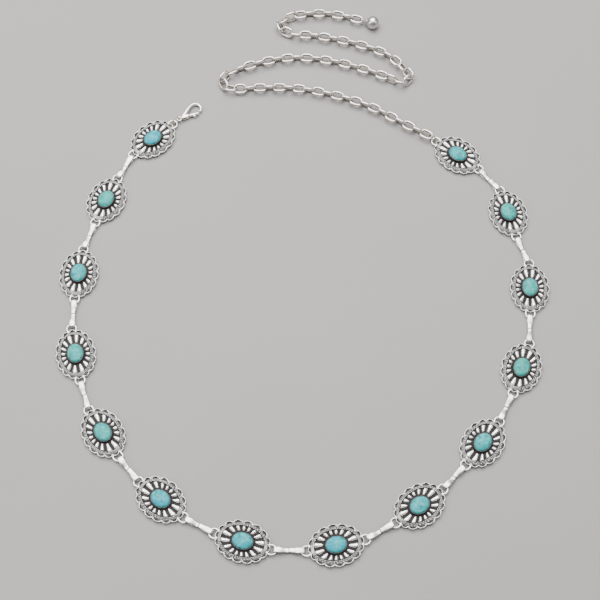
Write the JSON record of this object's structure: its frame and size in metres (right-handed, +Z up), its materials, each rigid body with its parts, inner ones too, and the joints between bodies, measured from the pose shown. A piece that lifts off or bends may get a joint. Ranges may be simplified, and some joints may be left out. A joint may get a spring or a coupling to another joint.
{
  "type": "metal concho chain belt",
  "caption": "Chain belt of scalloped oval cast conchos with turquoise cabochons joined by folded strap links, with a lobster clasp and a cable extension chain that ends in a ball.",
  "frame": {"origin": "middle of the belt's extent, on the surface it lies on", "axes": "+Z up from the surface, +Y from the bottom of the loop towards the chain's end, +X to the right as seen from above"},
  "size_m": [0.2854, 0.3572, 0.0082],
  "materials": {
    "antique_silver": "cast, polished on the high parts and darkened in the hollows",
    "bright_silver": "polished",
    "pale_gold": "dull",
    "turquoise": "polished, faintly mottled"
  },
  "bodies": {
    "belt": {"concho_01": "antique_silver", "concho_02": "antique_silver", "concho_03": "antique_silver", "concho_04": "antique_silver", "concho_05": "antique_silver", "concho_06": "antique_silver", "concho_07": "antique_silver", "concho_08": "antique_silver", "concho_09": "antique_silver", "concho_10": "antique_silver", "concho_11": "antique_silver", "concho_12": "antique_silver", "concho_13": "antique_silver", "concho_14": "antique_silver", "stone_01": "turquoise", "stone_02": "turquoise", "stone_03": "turquoise", "stone_04": "turquoise", "stone_05": "turquoise", "stone_06": "turquoise", "stone_07": "turquoise", "stone_08": "turquoise", "stone_09": "turquoise", "stone_10": "turquoise", "stone_11": "turquoise", "stone_12": "turquoise", "stone_13": "turquoise", "stone_14": "turquoise", "link_01": "bright_silver", "link_02": "bright_silver", "link_03": "bright_silver", "link_04": "bright_silver", "link_05": "bright_silver", "link_06": "bright_silver", "link_07": "bright_silver", "link_08": "bright_silver", "link_09": "bright_silver", "link_10": "bright_silver", "link_11": "bright_silver", "link_12": "bright_silver", "link_13": "bright_silver", "clasp_ring": "pale_gold", "chain_ring": "pale_gold", "clasp_body": "bright_silver", "extension_chain": "antique_silver", "end_ball": "bright_silver"},
    "lever": {"clasp_lever": "bright_silver"}
  },
  "joints": [
    {"name": "clasp_lever_hinge", "type": "hinge", "parent": "belt", "child": "lever", "pos_m": [-0.07238, 0.09902, 0.00221], "axis": [0.0653, 0.0441, 0.9969], "range_deg": [0, 24], "stiffness_Nm_per_rad": 0.01, "springref_deg": -20.05}
  ]
}
